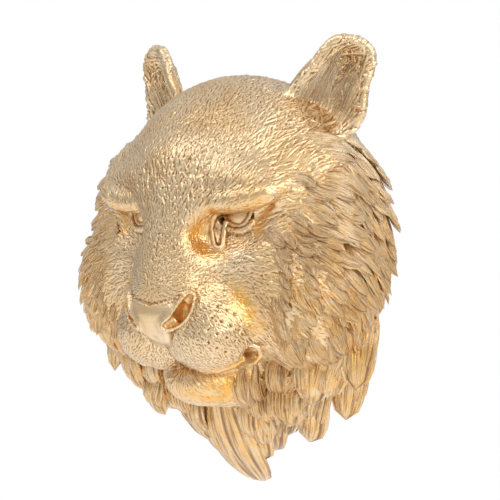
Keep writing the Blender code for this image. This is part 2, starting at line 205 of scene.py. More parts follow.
def square_to(normal, v):
    """The part of v at right angles to the normal, at length 1."""
    return unit(v - normal * dot(v, normal)[:, None])


def ellipsoid(p, centre, radii, turn=(0, 0, 0)):
    """Near distance to an ellipsoid, turned by degrees about X, Y and Z."""
    local = p - centre
    if any(turn):
        local = local @ np.array(Euler([math.radians(a) for a in turn]).to_matrix())
    radii = np.array(radii, float)
    reach = length(local / radii)
    slope = np.maximum(length(local / radii**2), 1e-9)
    return reach * (reach - 1.0) / slope


def capsule(p, start, end, start_radius, end_radius):
    """Distance to a round bar that runs from start to end and changes its radius."""
    start, end = np.array(start, float), np.array(end, float)
    along = end - start
    share = np.clip((p - start) @ along / (along @ along), 0, 1)
    radius = start_radius + (end_radius - start_radius) * share
    return length(p - start - share[:, None] * along) - radius


def half_space(p, point, normal):
    """Distance beyond a plane through the point."""
    normal = np.array(normal, float)
    return (p - point) @ (normal / math.sqrt(normal @ normal))


def join(a, b, blend):
    """Smooth union of two fields."""
    h = np.clip(0.5 + 0.5 * (b - a) / blend, 0, 1)
    return b + (a - b) * h - blend * h * (1 - h)


def carve(a, b, blend):
    """Field a with field b taken out of it, with a soft edge."""
    return -join(-a, b, blend)


def common(a, b, blend):
    """What fields a and b share, with a soft edge."""
    return -join(-a, -b, blend)


def folded(p):
    """The points with those of the tiger's right side mirrored to its left."""
    return np.column_stack((np.abs(p[:, 0]), p[:, 1], p[:, 2]))


def skull(q):
    """Cranium, neck, temples, cheeks and throat."""
    field = ellipsoid(q, (0, -56, 38), (95, 88, CROWN_HEIGHT - 40))
    neck = ellipsoid(q, (0, -30, 14), (RUFF_HALF_WIDTH - 6, 64, 112))
    jowl = ellipsoid(q, (72, -82, -14), (50, 40, 56))
    temple = ellipsoid(q, (76, -78, 46), (33, 28, 44))
    throat = capsule(q, (0, -46, -62), (0, -22, 30 - BEARD_DROP), 52, 9)
    mane = capsule(q, (58, -62, -56), (24, -38, -110), 28, 12)
    field = join(field, neck, 22)
    field = join(field, jowl, 26)
    field = join(field, temple, 16)
    return join(join(field, throat, 26), mane, 12)


def muzzle(q):
    """Bridge of the nose, whisker pads, chin and lower jaw."""
    flat = (0.80, 1, 1)
    bridge = capsule(q * flat, (0, -118, 68), (0, 26 - NOSE_REACH, -15), 26, 25)
    core = ellipsoid(q, (0, -104, -34), (47, 48, 38))
    pad = ellipsoid(q, (23, -123, -45), (31, 34, 29))
    field = join(join(bridge, core, 14), pad, 12)
    chin = ellipsoid(q, (0, -101, -83), (27, 30, 18))
    jaw = ellipsoid(q, (20, -76, -82), (24, 30, 20))
    return join(field, join(chin, jaw, 16), 4)


def brow(q):
    """Brow shelf above the eye and the cheekbone below it."""
    shelf = ellipsoid(q, (46, -111, 60), (38, 22, 15), (0, 4, 14))
    bone = ellipsoid(q, (56, -95, 8), (32, 24, 22))
    return join(shelf, bone, 8)


def face(p):
    """The whole head without its ears, fur and small parts."""
    q = folded(p)
    field = join(skull(q), muzzle(q), 18)
    return join(field, brow(q), 12)


def nose_side(q):
    """Distance beyond the flat side of the nose."""
    return half_space(q, (29, -150, -20), (0.84, -0.10, -0.54))


def nose(q):
    """The bare wedge of the nose, crisp at its top and along its sides."""
    tip = ellipsoid(q, (0, -134, -31), (40, 35, 26))
    tip = common(tip, half_space(q, (0, -166, -25), (-0.22, -0.15, 1)), 1.5)
    tip = common(tip, nose_side(q), 2)
    wing = ellipsoid(q, (21, -147, -25), (10, 14, 11), (0, 40, 0))
    return join(tip, wing, 3)


def nose_pad(q):
    """Negative within the bounds of the smooth pad of the nose."""
    top = half_space(q, (0, -166, -26.2), (-0.16, -0.15, 1))
    back = half_space(q, (0, -146, -30), (0, 1, 0))
    return np.max((top, nose_side(q) - 1.0, back, nose(q) - 1.5), axis=0)


def chain(p, spots, radii):
    """Distance to a bent bar through the spots, with one radius or a radius at each."""
    radii = np.broadcast_to(radii, len(spots))
    legs = zip(spots, spots[1:], radii, radii[1:])
    return np.min([capsule(p, a, b, r, s) for a, b, r, s in legs], axis=0)


def smooth_run(spots, radii, count):
    """The spots and radii of a bent bar, drawn again as a smooth curve of more spots."""
    known = np.column_stack((spots, radii))
    curve = np.polynomial.polynomial.polyfit(np.linspace(0, 1, len(known)), known, 3)
    smooth = np.polynomial.polynomial.polyval(np.linspace(0, 1, count), curve).T
    return smooth[:, :3], smooth[:, 3]


def tear_groove(q):
    """The groove that runs down from the inner corner of the eye."""
    return chain(q, ((33.5, -129, 37), (30, -129.5, 28), (32, -130, 18.5)), (1.6, 2.0, 1.4))


def eye(q, field):
    """The field with the left eye set in: socket, lids, ball and tear groove."""
    socket = ellipsoid(q, (47, -138, 28), (27, 18, 15), (0, -12, 16))
    field = carve(field, socket, 13)
    lids = length(q - EYE) - 16.4
    field = join(field, lids, 2.5)
    fold = capsule(q, (29, -121, 38), (26, -129, 20), 4.4, 3.4)
    field = join(field, fold, 3)
    near = length(q - EYE) < 52
    p, close = q[near], field[near]
    slit = ellipsoid(p, (43, -123, 36), (13.2, 16, 9.2), (0, -8, 16))
    slit = common(slit, half_space(p, (42, -120, 42), (-0.22, -0.35, 1)), 1)
    close = carve(close, slit, 1)
    close = join(close, chain(p, LOWER_LID, LID_RADIUS), 0.8)
    close = join(close, chain(p, UNDER_LID, UNDER_LID_RADIUS), 1.2)
    close = join(close, chain(p, TEAR_RIM, RIM_RADIUS), 1.0)
    close = carve(close, tear_groove(p), 1)
    close = join(close, chain(p, BROW_EDGE, BROW_RADII), 3.0)
    close = carve(close, chain(p, OUTER_VALLEY, (3.4, 4.6, 3.4)), 3.0)
    field[near] = np.minimum(close, length(p - EYE) - EYE_RADIUS)
    return field


def mouth(q, field):
    """The field with the nostrils and the parting and corners of the mouth."""
    spots, radii = smooth_run(NOSTRIL, NOSTRIL_RADII, 9)
    wing = chain(q, spots + (-1.4, 1.6, 0), radii + 2.0)
    field = carve(join(field, wing, 4), nostril(q), 2.0)
    parting = capsule(q, (0, -162, -50), (0, -144, -78), 1.2, 5.5)
    field = carve(field, parting, 4)
    lip = capsule(q, (10, -140, -76), (40, -125, -70), 1.0, 2.0)
    field = carve(field, lip, 4)
    field = join(field, chain(q, MOUTH_RIM, MOUTH_RIM_RADII), 2)
    pitted = length(q - (45, -142, -42)) < 24
    pits = np.min([length(q[pitted] - spot) for spot in whisker_pits()], axis=0)
    field[pitted] = carve(field[pitted], pits - 1.25, 0.8)
    return carve(field, mouth_corner(q), 1.2)


@functools.cache
def whisker_pits():
    """Where the pits of the left whisker pad lie."""
    rows = [np.linspace(first, last, count) for first, last, count in WHISKER_ROWS]
    return settle(face, np.concatenate(rows))


def nostril(q):
    """The comma-shaped hole of the nostril."""
    deep = ellipsoid(q, (20, -156, -29), (5, 7, 8))
    return join(chain(q, *smooth_run(NOSTRIL, NOSTRIL_RADII, 9)), deep, 2)


def mouth_corner(q):
    """The hole at the corner of the mouth."""
    slit = capsule(q, (51.5, -118, -59.3), (41, -123, -68.0), 5.2, 2.2)
    return join(slit, ellipsoid(q, (49, -110, -60), (6, 10, 5)), 2)


def ear_edge(spokes):
    """A smooth closed run of points through the ear's edge."""
    knots = np.array(EAR_EDGE, float)
    count = len(knots)
    places = np.arange(spokes) * count / spokes
    whole = places.astype(int)
    t = (places - whole)[:, None]
    a, b, c, d = [knots[(whole + i) % count] for i in (-1, 0, 1, 2)]
    curve = 2 * b + (c - a) * t + (2 * a - 5 * b + 4 * c - d) * t**2
    return (curve + (3 * b - 3 * c + d - a) * t**3) / 2


def outline_distance(flat, edge):
    """Distance of flat points outside a closed outline, negative inside it."""
    ends = np.roll(edge, -1, axis=0)
    nearest = np.full(len(flat), 1e9)
    inside = np.zeros(len(flat), bool)
    for a, b in zip(edge, ends):
        off, run = flat - a, b - a
        share = np.clip(off @ run / (run @ run), 0, 1)
        nearest = np.minimum(nearest, length(off - share[:, None] * run))
        beside = (a[1] > flat[:, 1]) != (b[1] > flat[:, 1])
        reach = a[0] + run[0] * (flat[:, 1] - a[1]) / (run[1] if run[1] else 1e-9)
        inside ^= beside & (flat[:, 0] < reach)
    return np.where(inside, -nearest, nearest)


def ear_axes():
    """The left ear's own directions: across it, up it, and out of its hollow."""
    tall, facing = unit(np.array([EAR_TALL, EAR_FACING]))
    wide = np.cross(tall, facing)
    return wide if wide[0] > 0 else -wide, tall, facing


def ear(q):
    """The left ear: a cupped leaf with a thick round rim."""
    wide, tall, facing = ear_axes()
    off = q - EAR_MIDDLE
    flat = np.column_stack((off @ wide, off @ tall))
    field = length(off - tall * 26) - 46
    close = field < 4
    edge = outline_distance(flat[close], ear_edge(40))
    hollow = ramp(-edge / 24, 0, 1)
    middle = -EAR_CUP * hollow - EAR_WALL / 2
    leaf = np.abs(off[close] @ facing - middle) - EAR_WALL / 2 + 0.8 * hollow
    field[close] = common(edge, leaf, 3.0)
    return field


def head(p):
    """The bare head with its eyes, nose, mouth and ears."""
    q = folded(p)
    field = join(face(p), nose(q), 1.5)
    furrow = capsule(q, (29.4, -142, 66), (30, -144, 54), 1.9, 1.4)
    field = carve(eye(q, field), furrow, 2)
    near = length(q - (14, -149, 58)) < 24
    grooves = np.min([capsule(q[near], a, b, 1.7, 1.1) for a, b in WRINKLES], axis=0)
    field[near] = carve(field[near], grooves, 1.5)
    return join(mouth(q, field), ear(q), 7)


def gradient(field, p, step=0.4):
    """Outward normals of a field at the points p."""
    base = field(p)
    slopes = [field(p + step * axis) - base for axis in np.eye(3)]
    return unit(np.column_stack(slopes))


def settle(field, p, rounds=3):
    """The points moved on to the field's surface."""
    for _ in range(rounds):
        p = p - gradient(field, p) * field(p)[:, None]
    return p


# Skin.

def in_chunks(field, p, size=200000):
    """The field at many points, worked out a part at a time."""
    return np.concatenate([field(p[i:i + size]) for i in range(0, len(p), size)])


def sample(field, low, counts, step):
    """The field at every node of a grid, close to only near the skin."""
    rough = [np.arange(0, n + COARSE, COARSE) for n in counts]
    nodes = np.stack(np.meshgrid(*rough, indexing="ij"), -1).reshape(-1, 3)
    values = in_chunks(field, low + step * nodes).reshape([len(r) for r in rough])
    for axis in range(3):
        values = np.repeat(values, COARSE, axis)
    half = COARSE // 2
    values = values[half:half + counts[0], half:half + counts[1], half:half + counts[2]]
    values = np.ascontiguousarray(values)
    near = np.argwhere(np.abs(values) < BAND)
    values[tuple(near.T)] = in_chunks(field, low + step * near)
    return values


def surface_net(field, low, high, step):
    """Points and four-sided faces of the skin, with the grid cell of each point."""
    low = np.array(low, float)
    counts = np.ceil((np.array(high) - low) / step).astype(int) + 1
    values = sample(field, low, counts, step)
    inside = values < 0
    corners = np.array([(i, j, k) for i in (0, 1) for j in (0, 1) for k in (0, 1)])
    full = sum(inside[i:counts[0] - 1 + i, j:counts[1] - 1 + j, k:counts[2] - 1 + k].astype(int)
               for i, j, k in corners)
    cells = np.argwhere((full > 0) & (full < 8))
    spots = (cells[:, None] + corners).reshape(-1, 3)
    corner = values[tuple(spots.T)].reshape(-1, 8)
    total, number = np.zeros((len(cells), 3)), np.zeros(len(cells))
    for a in range(8):
        for b in [a | bit for bit in (1, 2, 4) if not a & bit]:
            cut = (corner[:, a] < 0) != (corner[:, b] < 0)
            share = corner[:, a] / np.where(cut, corner[:, a] - corner[:, b], 1)
            spot = corners[a] + share[:, None] * (corners[b] - corners[a])
            total += spot * cut[:, None]
            number += cut
    index = np.full(counts - 1, -1)
    index[tuple(cells.T)] = np.arange(len(cells))
    faces = []
    for axis in range(3):
        turned, ahead = np.moveaxis(inside, axis, 0), np.moveaxis(index, axis, 0)
        i, j, k = np.nonzero((turned[:-1] != turned[1:])[:, 1:-1, 1:-1])
        quads = np.column_stack((ahead[i, j, k], ahead[i, j + 1, k],
                                 ahead[i, j + 1, k + 1], ahead[i, j, k + 1]))
        flip = turned[i, j + 1, k + 1] == (axis == 1)
        quads[flip] = quads[flip][:, ::-1]
        faces.append(quads)
    points = low + step * (cells + total / number[:, None])
    return points, np.concatenate(faces), cells


def both_halves(points, faces, central):
    """The skin of the left half and its mirror image, joined in the middle plane."""
    points[central, 0] = 0
    twin = np.arange(len(points))
    twin[~central] = len(points) + np.arange((~central).sum())
    other = points[~central] * (-1, 1, 1)
    return np.concatenate((points, other)), np.concatenate((faces, twin[faces][:, ::-1]))


def refine(points, faces, chosen):
    """The faces with each chosen one split in four."""
    old = faces[chosen]
    pairs = np.sort(np.concatenate([old[:, [i, (i + 1) % 4]] for i in range(4)]), axis=1)
    keys, place = np.unique(pairs[:, 0] * len(points) + pairs[:, 1], return_inverse=True)
    ends = np.divmod(keys, len(points))
    middle = len(points) + place.reshape(4, -1)
    centre = len(points) + len(keys) + np.arange(len(old))
    added = np.concatenate(((points[ends[0]] + points[ends[1]]) / 2, points[old].mean(1)))
    parts = [np.column_stack((old[:, i], middle[i], centre, middle[i - 1])) for i in range(4)]
    return np.concatenate((points, added)), np.concatenate((faces[~chosen], *parts))


def corner_normals(points, faces):
    """Outward normals at the points of a mesh of four-sided faces."""
    a, b, c, d = [points[faces[:, i]] for i in range(4)]
    flat = np.cross(c - a, d - b)
    total = np.zeros_like(points)
    for i in range(4):
        np.add.at(total, faces[:, i], flat)
    return unit(total)


def around_and_tilt(p):
    """Where the points lie round the head from its top, and off the forward axis."""
    off = p - MIDDLE
    around = np.degrees(np.arctan2(np.abs(off[:, 0]), off[:, 2]))
    tilt = np.degrees(np.arctan2(np.hypot(off[:, 0], off[:, 2]), -off[:, 1]))
    return around, tilt


def open_skin(p):
    """True where the skin isn't hidden beneath the ruff."""
    around, tilt = around_and_tilt(p)
    return (tilt < 62) | (around < 52) | (ear(folded(p)) < 3)


def fine_skin(p):
    """True where the skin's mesh is made finer."""
    around, tilt = around_and_tilt(p)
    on_ear = (ear(folded(p)) < 3) & (p[:, 1] < -30)
    return (tilt < np.where(around > 62, 55, 76)) | on_ear


def make_skin():
    """The bare head's points and faces, finer where they show."""
    low = (-NET_STEP / 2, -178, -172)
    points, faces, cells = surface_net(head, low, (136, 2.5, 174), NET_STEP)
    points, faces = both_halves(points, faces, cells[:, 0] == 0)
    chosen = fine_skin(points[faces].mean(1))
    points, faces = refine(points, faces, chosen)
    moved = np.concatenate([settle(head, part, 2) for part in np.array_split(points, 4)])
    moved -= points
    share = np.minimum(1, 0.8 * NET_STEP / np.maximum(length(moved), 1e-9))
    points = points + moved * share[:, None]
    faces = faces[points[faces][:, :, 1].min(1) < 0]
    points[:, 1] = np.minimum(points[:, 1], 0)
    return points, faces


# Fur.

def blurred(values, faces, rounds):
    """Values at the points of a mesh, each one averaged with its neighbours."""
    corner = faces.ravel()
    count = np.maximum(np.bincount(corner, minlength=len(values)), 1)
    for _ in range(rounds):
        near = np.repeat(values[faces].mean(1), faces.shape[1])
        values = np.bincount(corner, near, len(values)) / count
    return values


def hollows(points, faces, normals):
    """How far each point lies below the skin round it, in millimetres."""
    smooth = np.column_stack([blurred(points[:, i], faces, 4) for i in range(3)])
    return dot(smooth - points, normals)


def bare(p):
    """0 on fur and 1 on the bare nose, eyes and the insides of holes."""
    q = folded(p)
    on_nose = 1 - ramp(nose_pad(q), -0.2, 0.3)
    on_ball = 1 - ramp(length(q - EYE) - EYE_RADIUS, 0.4, 1.6)
    in_holes = [1 - ramp(hole(q), 0.3, 1.5) for hole in (nostril, mouth_corner, tear_groove)]
    rims = [chain(q, LOWER_LID, LID_RADIUS), chain(q, TEAR_RIM, RIM_RADIUS),
            chain(q, MOUTH_RIM, RIM_RADIUS)]
    on_rims = 1 - ramp(np.min(rims, axis=0), 0.2, 0.9)
    return np.max((on_nose, on_ball, *in_holes, on_rims), axis=0)


def fur_flow(p, normals):
    """The way the fur lies at the points, along the skin."""
    way = unit(p - (0, -152, -14))
    side = ramp(np.abs(p[:, 0]), 34, 78)
    way[:, 2] -= 0.55 * side * ramp(90 - p[:, 2], 0, 70)
    way[:, 1] += 0.5 * side
    way[:, 0] += 0.9 * on_chin(p) * np.clip(p[:, 0] / 14, -1, 1)
    return square_to(normals, way)


def on_chin(p):
    """1 on the chin and 0 away from it."""
    return ramp(-p[:, 2], 66, 76) * ramp(-p[:, 1], 72, 88)


def coarseness(p):
    """Size of the fur's strokes: near 1 on the nose, more on cheeks, temples and chin."""
    away = length(p - (0, -150, -10))
    wide = ramp(np.abs(p[:, 0]), 40, 86)
    between_brows = 1 - ramp(length(folded(p) - (12, -148, 60)), 12, 26)
    behind = ramp(around_and_tilt(p)[1], 68, 84)
    size = 0.85 + 0.35 * ramp(away, 20, 130) + 0.75 * wide
    return size + 0.55 * on_chin(p) + 0.35 * between_brows + 0.8 * behind


def even_pick(rng, points, spacing):
    """Indices of points chosen at random, about the spacing apart."""
    order = rng.permutation(len(points))
    cell = np.floor(points[order] / spacing).astype(np.int64)
    _, first = np.unique(cell @ np.array((1, 4096, 16777216)), return_index=True)
    return order[first]


def fur_relief(points, normals, roots, flow, size, height):
    """Height of the fur over each point: shingled strokes that rise to their tips."""
    tree = KDTree(len(points))
    for i, point in enumerate(points.tolist()):
        tree.insert(point, i)
    tree.balance()
    reach = size * (2.8 + 1.6 * ramp(np.abs(roots[:, 0]), 34, 60) + 1.6 * on_chin(roots))
    half = 0.60 * size
    stroke, vertex = [], []
    for i, (spot, radius) in enumerate(zip(roots.tolist(), reach.tolist())):
        found = [hit[1] for hit in tree.find_range(spot, radius * 1.05)]
        vertex += found
        stroke += [i] * len(found)
    stroke, vertex = np.array(stroke), np.array(vertex)
    off = points[vertex] - roots[stroke]
    along = dot(off, flow[stroke]) / reach[stroke]
    side = np.cross(flow, normals)[stroke]
    across = dot(off, side) / half[stroke]
    across += 0.35 * along**2 * np.sin(stroke * 2.4)
    slim = np.sqrt(np.clip(1 - np.maximum(along, 0)**2, 0, 1)) * ramp(along, -1.05, -0.5)
    body = np.clip(1 - (across / np.maximum(slim, 0.05))**2, 0, 1)
    rise = 0.35 + 0.65 * np.clip(along * 0.5 + 0.5, 0, 1)
    lift = height[stroke] * np.sqrt(body) * rise * (np.abs(along) < 1)
    relief = np.zeros(len(points))
    np.maximum.at(relief, vertex, lift)
    return relief


def grow_fur(rng, points, faces):
    """The skin's points moved out by its fur, and where it is bare."""
    normals = corner_normals(points, faces)
    shown = np.flatnonzero(open_skin(points) & (points[:, 1] < -1))
    naked = bare(points)
    chosen = shown[even_pick(rng, points[shown], STROKE_SPACING)]
    size = coarseness(points[chosen])
    keep = (rng.random(len(chosen)) < 0.9 / size**2) & (naked[chosen] < 0.5)
    chosen, size = chosen[keep], size[keep]
    flow = fur_flow(points[chosen], normals[chosen])
    turn = rng.normal(0, STROKE_TURN, len(chosen))[:, None]
    side = np.cross(flow, normals[chosen])
    flow = flow * np.cos(turn) + side * np.sin(turn)
    size = size * rng.uniform(0.8, 1.2, len(chosen))
    height = STROKE_HEIGHT * size * rng.uniform(0.4, 1.3, len(chosen))
    relief = np.zeros(len(points))
    relief[shown] = fur_relief(points[shown], normals[chosen], points[chosen], flow, size,
                               height)
    relief *= 1 - naked
    fade = ramp(-points[:, 1], 0, 4)
    moved = points + normals * ((relief - 0.25) * fade * (1 - naked))[:, None]
    moved[:, 1] = np.minimum(moved[:, 1], 0)
    return moved, naked


def put_in_scene(name, data):
    """A new object that shows the data."""
    obj = bpy.data.objects.new(name, data)
    bpy.context.scene.collection.objects.link(obj)
    return obj


def mesh_object(name, points, faces):
    """A mesh object from points in millimetres."""
    mesh = bpy.data.meshes.new(name)
    mesh.from_pydata((np.asarray(points) * MM).tolist(), [], np.asarray(faces).tolist())
    mesh.update()
    return put_in_scene(name, mesh)


def put_attribute(mesh, name, values):
    """A number for each point of the mesh, which its material reads."""
    layer = mesh.attributes.new(name, "FLOAT", "POINT")
    layer.data.foreach_set("value", np.asarray(values, np.float32))


def skin_piece(name, points, faces, normals, marks):
    """One piece of a larger skin, shaded as if it were still whole."""
    used, faces = np.unique(faces, return_inverse=True)
    obj = mesh_object(name, points[used], faces.reshape(-1, 4))
    obj.data.polygons.foreach_set("use_smooth", np.ones(len(obj.data.polygons), bool))
    for key, values in marks.items():
        put_attribute(obj.data, key, values[used])
    obj.data.normals_split_custom_set_from_vertices(normals[used].tolist())
    return obj


def amber(p):
    """Where the paint is a deeper amber: round the eyes and in the folds of the face. Some of it
    is painted shade: under the brow, in the outer corner of the eye, inside the nostrils and
    mouth corners, and on the skin beneath the ruff.
    """
    q = folded(p)
    crescent = chain(q, ((25, -133, 44), (20, -137, 34), (20, -141, 20), (26, -137, 10),
                         (34, -131, 8)), (3, 7, 8, 7, 4))
    # Painted shade in the valley at the eye's outer corner, under the brow's tail.
    outer_corner_shade = chain(q, ((70, -119, 47), (61, -121, 41), (60, -119, 28)), (4, 5, 3))
    pad = chain(q, ((46, -127, -12), (50, -127, -24), (56, -118, -38)), (3, 7, 7))
    lip = chain(q, ((22, -136, -78), (40, -125, -72), (54, -112, -64)), (4, 6, 7))
    chin = chain(q, ((0, -122, -88), (20, -114, -88), (36, -98, -84)), (7, 11, 13))
    cheek = capsule(q, (66, -112, -12), (78, -96, -34), 5, 12)
    # Painted shade under the brow's edge, above the eye.
    brow = chain(q, np.array(BROW_EDGE)[:5] + (0, -3, -5), (2, 3, 3, 4, 4))
    patch = np.min((crescent, outer_corner_shade, pad, lip, chin, cheek, brow), axis=0)
    # Painted shade inside the nostrils and mouth corners.
    holes = np.min((nostril(q), mouth_corner(q)), axis=0)
    # Painted shade on the skin beneath the ruff, seen between its locks; the eyeball's amber
    # below is its own colour.
    side = 0.45 * ramp(q[:, 0], 52, 84) * (1 - ramp(q[:, 2], 60, 90))
    side += 0.4 * (1 - ramp(length(q - EYE), 14, 16))
    strong = np.maximum(1 - ramp(holes, -0.5, 1.0), 1 - ramp(patch, -5, 8))
    return np.maximum(side, strong)


def shade_and_patina_mark(p, depth):
    """How much painted shade, with some patina, shows as brown in the hollows: more on pads and
    crown, less in amber.
    """
    q = folded(p)
    pads = 1 - ramp(length(q - (20, -136, -48)), 26, 42)
    crown = ramp(p[:, 2], 66, 92) * ramp(-p[:, 1], 20, 50)
    shade = np.clip(0.5 + depth / 0.5 + 0.05 * pads + 0.03 * crown, 0, 1)
    return shade * (1 - 0.5 * amber(p))


# Locks.

def lock_flow(p, normal):
    """The way locks lie at the points p, along the surface."""
    depth = -p[:, 1]
    drop = np.clip((110 - p[:, 2]) / 220, 0.1, 1)
    spread = unit(np.column_stack((p[:, 0], 0 * depth, p[:, 2] + 8)))
    way = 0.45 * spread
    way[:, 1] += 0.65 * np.clip((depth - 26) / 55, 0, 1)
    way[:, 2] -= 0.40 + 0.95 * drop
    return square_to(normal, way)


def swell(x, middle, width):
    """A soft bump of height 1 at the middle."""
    return math.exp(-(((x - middle) / width) ** 2))


def ruff_roots(rng):
    """Root directions, lengths, widths and lifts of the locks of one side."""
    turn = []
    for row, (tilt, start, reach, width, lift) in enumerate(RUFF_ROWS):
        around = start + 4 * (row % 2) - (8 if row > 3 else 0)
        while around < (180 if row % 2 else 128):
            low = ramp(around, 95, 150)
            size = (0.88 + 0.22 * around / 180) * rng.uniform(0.88, 1.14)
            flare = 1 + max(0, 0.9 - 0.12 * row) * swell(around, 72, 22)
            flare += (0.55 if row > 5 else 0) * swell(around, 62, 20)
            turn.append((around, tilt + rng.normal(0, 1.3), reach * size * (1 + 0.9 * low),
                         width * size * (1 + 0.25 * low),
                         lift * flare * rng.uniform(0.7, 1.35)))
            around += math.degrees(0.66 * width * size / 104) * rng.uniform(0.85, 1.15)
    return np.array(turn)


def ruff_guides(rng, stations):
    """Guide lines over the head's skin for the locks of the left side."""
    turn = ruff_roots(rng)
    throat = (turn[:, 0] > 152) & (turn[:, 1] < 80) | (turn[:, 0] > 164)
    turn = turn[~throat]
    around, tilt = np.radians(turn[:, 0]), np.radians(turn[:, 1])
    ways = np.column_stack((np.sin(tilt) * np.sin(around), -np.cos(tilt),
                            np.sin(tilt) * np.cos(around)))
    reach = np.full(len(turn), 230.0)
    for _ in range(60):
        reach -= np.clip(face(MIDDLE + ways * reach[:, None]), -4, 40) * 0.7
    spot = MIDDLE + ways * reach[:, None]
    steps = turn[:, 2] / (stations - 1)
    bend = rng.normal(0, 0.28, len(turn))
    path, normals = [], []
    normal = gradient(face, spot)
    flow = lock_flow(spot, normal)
    above = (normal[:, 2] > -0.3) & (turn[:, 0] < CHIN_SIDE)
    hung = np.zeros(len(turn), bool)
    for i in range(stations):
        hung |= above & (gradient(face, spot)[:, 2] < UNDERSIDE)
        loose = hung[:, None]
        spot = np.where(loose, spot, settle(face, spot, 2))
        normal = np.where(loose, normal, gradient(face, spot))
        flow = np.where(loose, unit(flow + HANG_DOWN), lock_flow(spot, normal))
        normal = square_to(flow, normal)
        path.append(spot)
        normals.append(normal)
        swing = bend * math.cos(math.pi * i / (stations - 1)) * 1.4 * ~hung
        flow = unit(flow + np.cross(flow, normal) * swing[:, None])
        spot = spot + flow * steps[:, None]
    path, normals = np.array(path), np.array(normals)
    share = np.linspace(0, 1, stations)[:, None]
    raised = (0.75 * turn[:, 4] + 3.4) * share**1.25 - 1.6
    curl = np.clip(share - 0.75, 0, 1) * turn[:, 4] * 0.9
    path = path + normals * (raised + curl)[..., None]
    off_corner = np.sqrt(((path - MOUTH_RIM[2]) ** 2).sum(-1)).min(0)
    kept = (off_corner > 13) & (path[:, :, 2].min(0) > -128)
    return path.transpose(1, 0, 2)[kept], normals.transpose(1, 0, 2)[kept], turn[kept, 3]


def free_guide(root, tip, stations, bow=6.0, swing=0.0):
    """A guide line that hangs free, bowed a little away from the head."""
    share = np.linspace(0, 1, stations)[:, None]
    root, tip = np.array(root, float), np.array(tip, float)
    away = unit(np.array([[0.4 * root[0], -70.0, -36.0]]))[0]
    across = unit(np.cross(tip - root, away)[None])[0]
    path = root + (tip - root) * share + away * bow * np.sin(math.pi * share)
    path = path + across * swing * np.sin(2 * math.pi * share)
    along = unit(np.gradient(path, axis=0))
    normals = away - along * (along @ away)[:, None]
    return path, unit(normals)


def hanging_guides(rng, stations):
    """Guide lines, normals and widths of the locks that hang below the jaw."""
    lines, facings, widths = [], [], []
    for root, tip, width in (*HANGING, SIDE_CURL):
        root, tip = np.array(root, float), np.array(tip, float)
        side = unit(np.cross(tip - root, (0.5, -1, -0.4))[None])[0]
        for shift, share, lower in ((0, 1.0, 0), (-0.30, 0.84, 2.5), (0.30, 0.88, 2.5)):
            start = root + side * width * shift
            end = start + (tip - root) * share - side * width * shift * 0.5
            end = end + (0, -lower * 0.4, 0)
            start = start + (0, -lower * 0.6, 0)
            line, facing = free_guide(start, end, stations, 6 + lower, rng.normal(0, 1.2))
            lines.append(line)
            facings.append(facing)
            widths.append(width * (1.10 if shift == 0 else 0.7))
    return np.array(lines), np.array(facings), np.array(widths)


def ear_guides(rng, stations, count=17):
    """Guide lines for the hair in the hollow of the left ear, fanned out from its base."""
    wide, tall, facing = ear_axes()
    share = np.linspace(0, 1, stations)[:, None]
    lines = []
    for fan in np.linspace(0, 1, count):
        root = np.array((40 * fan - 30, 4 * abs(fan - 0.4) - 6))
        tip = np.array((38 * fan - 18, 60 - 30 * abs(fan - 0.40))) * rng.uniform(0.82, 1)
        across, up = (root + (tip - root) * share).T
        across = across - 4 * np.sin(math.pi * share[:, 0]) * (1.2 - fan)
        line = EAR_MIDDLE + across[:, None] * wide + up[:, None] * tall - 4 * facing
        lines.append(settle(ear, line, 3) + facing * (0.2 + 1.6 * share * rng.uniform(0.4, 1)))
    lines = np.array(lines)
    facings = np.broadcast_to(facing, lines.shape)
    return lines, facings, rng.uniform(5.5, 8.5, count)


def guide_object(name, lines, facings, widths, shape):
    """Guide lines as one mesh of edges that carries what the lock tree reads."""
    count, stations = lines.shape[:2]
    mesh = bpy.data.meshes.new(name)
    start = (np.arange(count) * stations)[:, None] + np.arange(stations - 1)
    edges = np.stack((start, start + 1), -1).reshape(-1, 2)
    mesh.from_pydata((lines.reshape(-1, 3) * MM).tolist(), edges.tolist(), [])
    facing = mesh.attributes.new("facing", "FLOAT_VECTOR", "POINT")
    facing.data.foreach_set("vector", facings.reshape(-1, 3).astype(np.float32).ravel())
    share = np.tile(np.linspace(0, 1, stations), count)
    put_attribute(mesh, "half", np.repeat(widths, stations) / 2 * MM * shape(share))
    put_attribute(mesh, "share", share)
    put_attribute(mesh, "lock", np.repeat(np.arange(count) * 1.37, stations))
    return put_in_scene(name, mesh)


def leaf(share):
    """Width of a lock along its length: full in the middle and pointed at its tip."""
    return (0.66 + 0.34 * ramp(share, 0, 0.35)) * np.sqrt(np.clip(1 - share**4.2, 0.0004, 1))


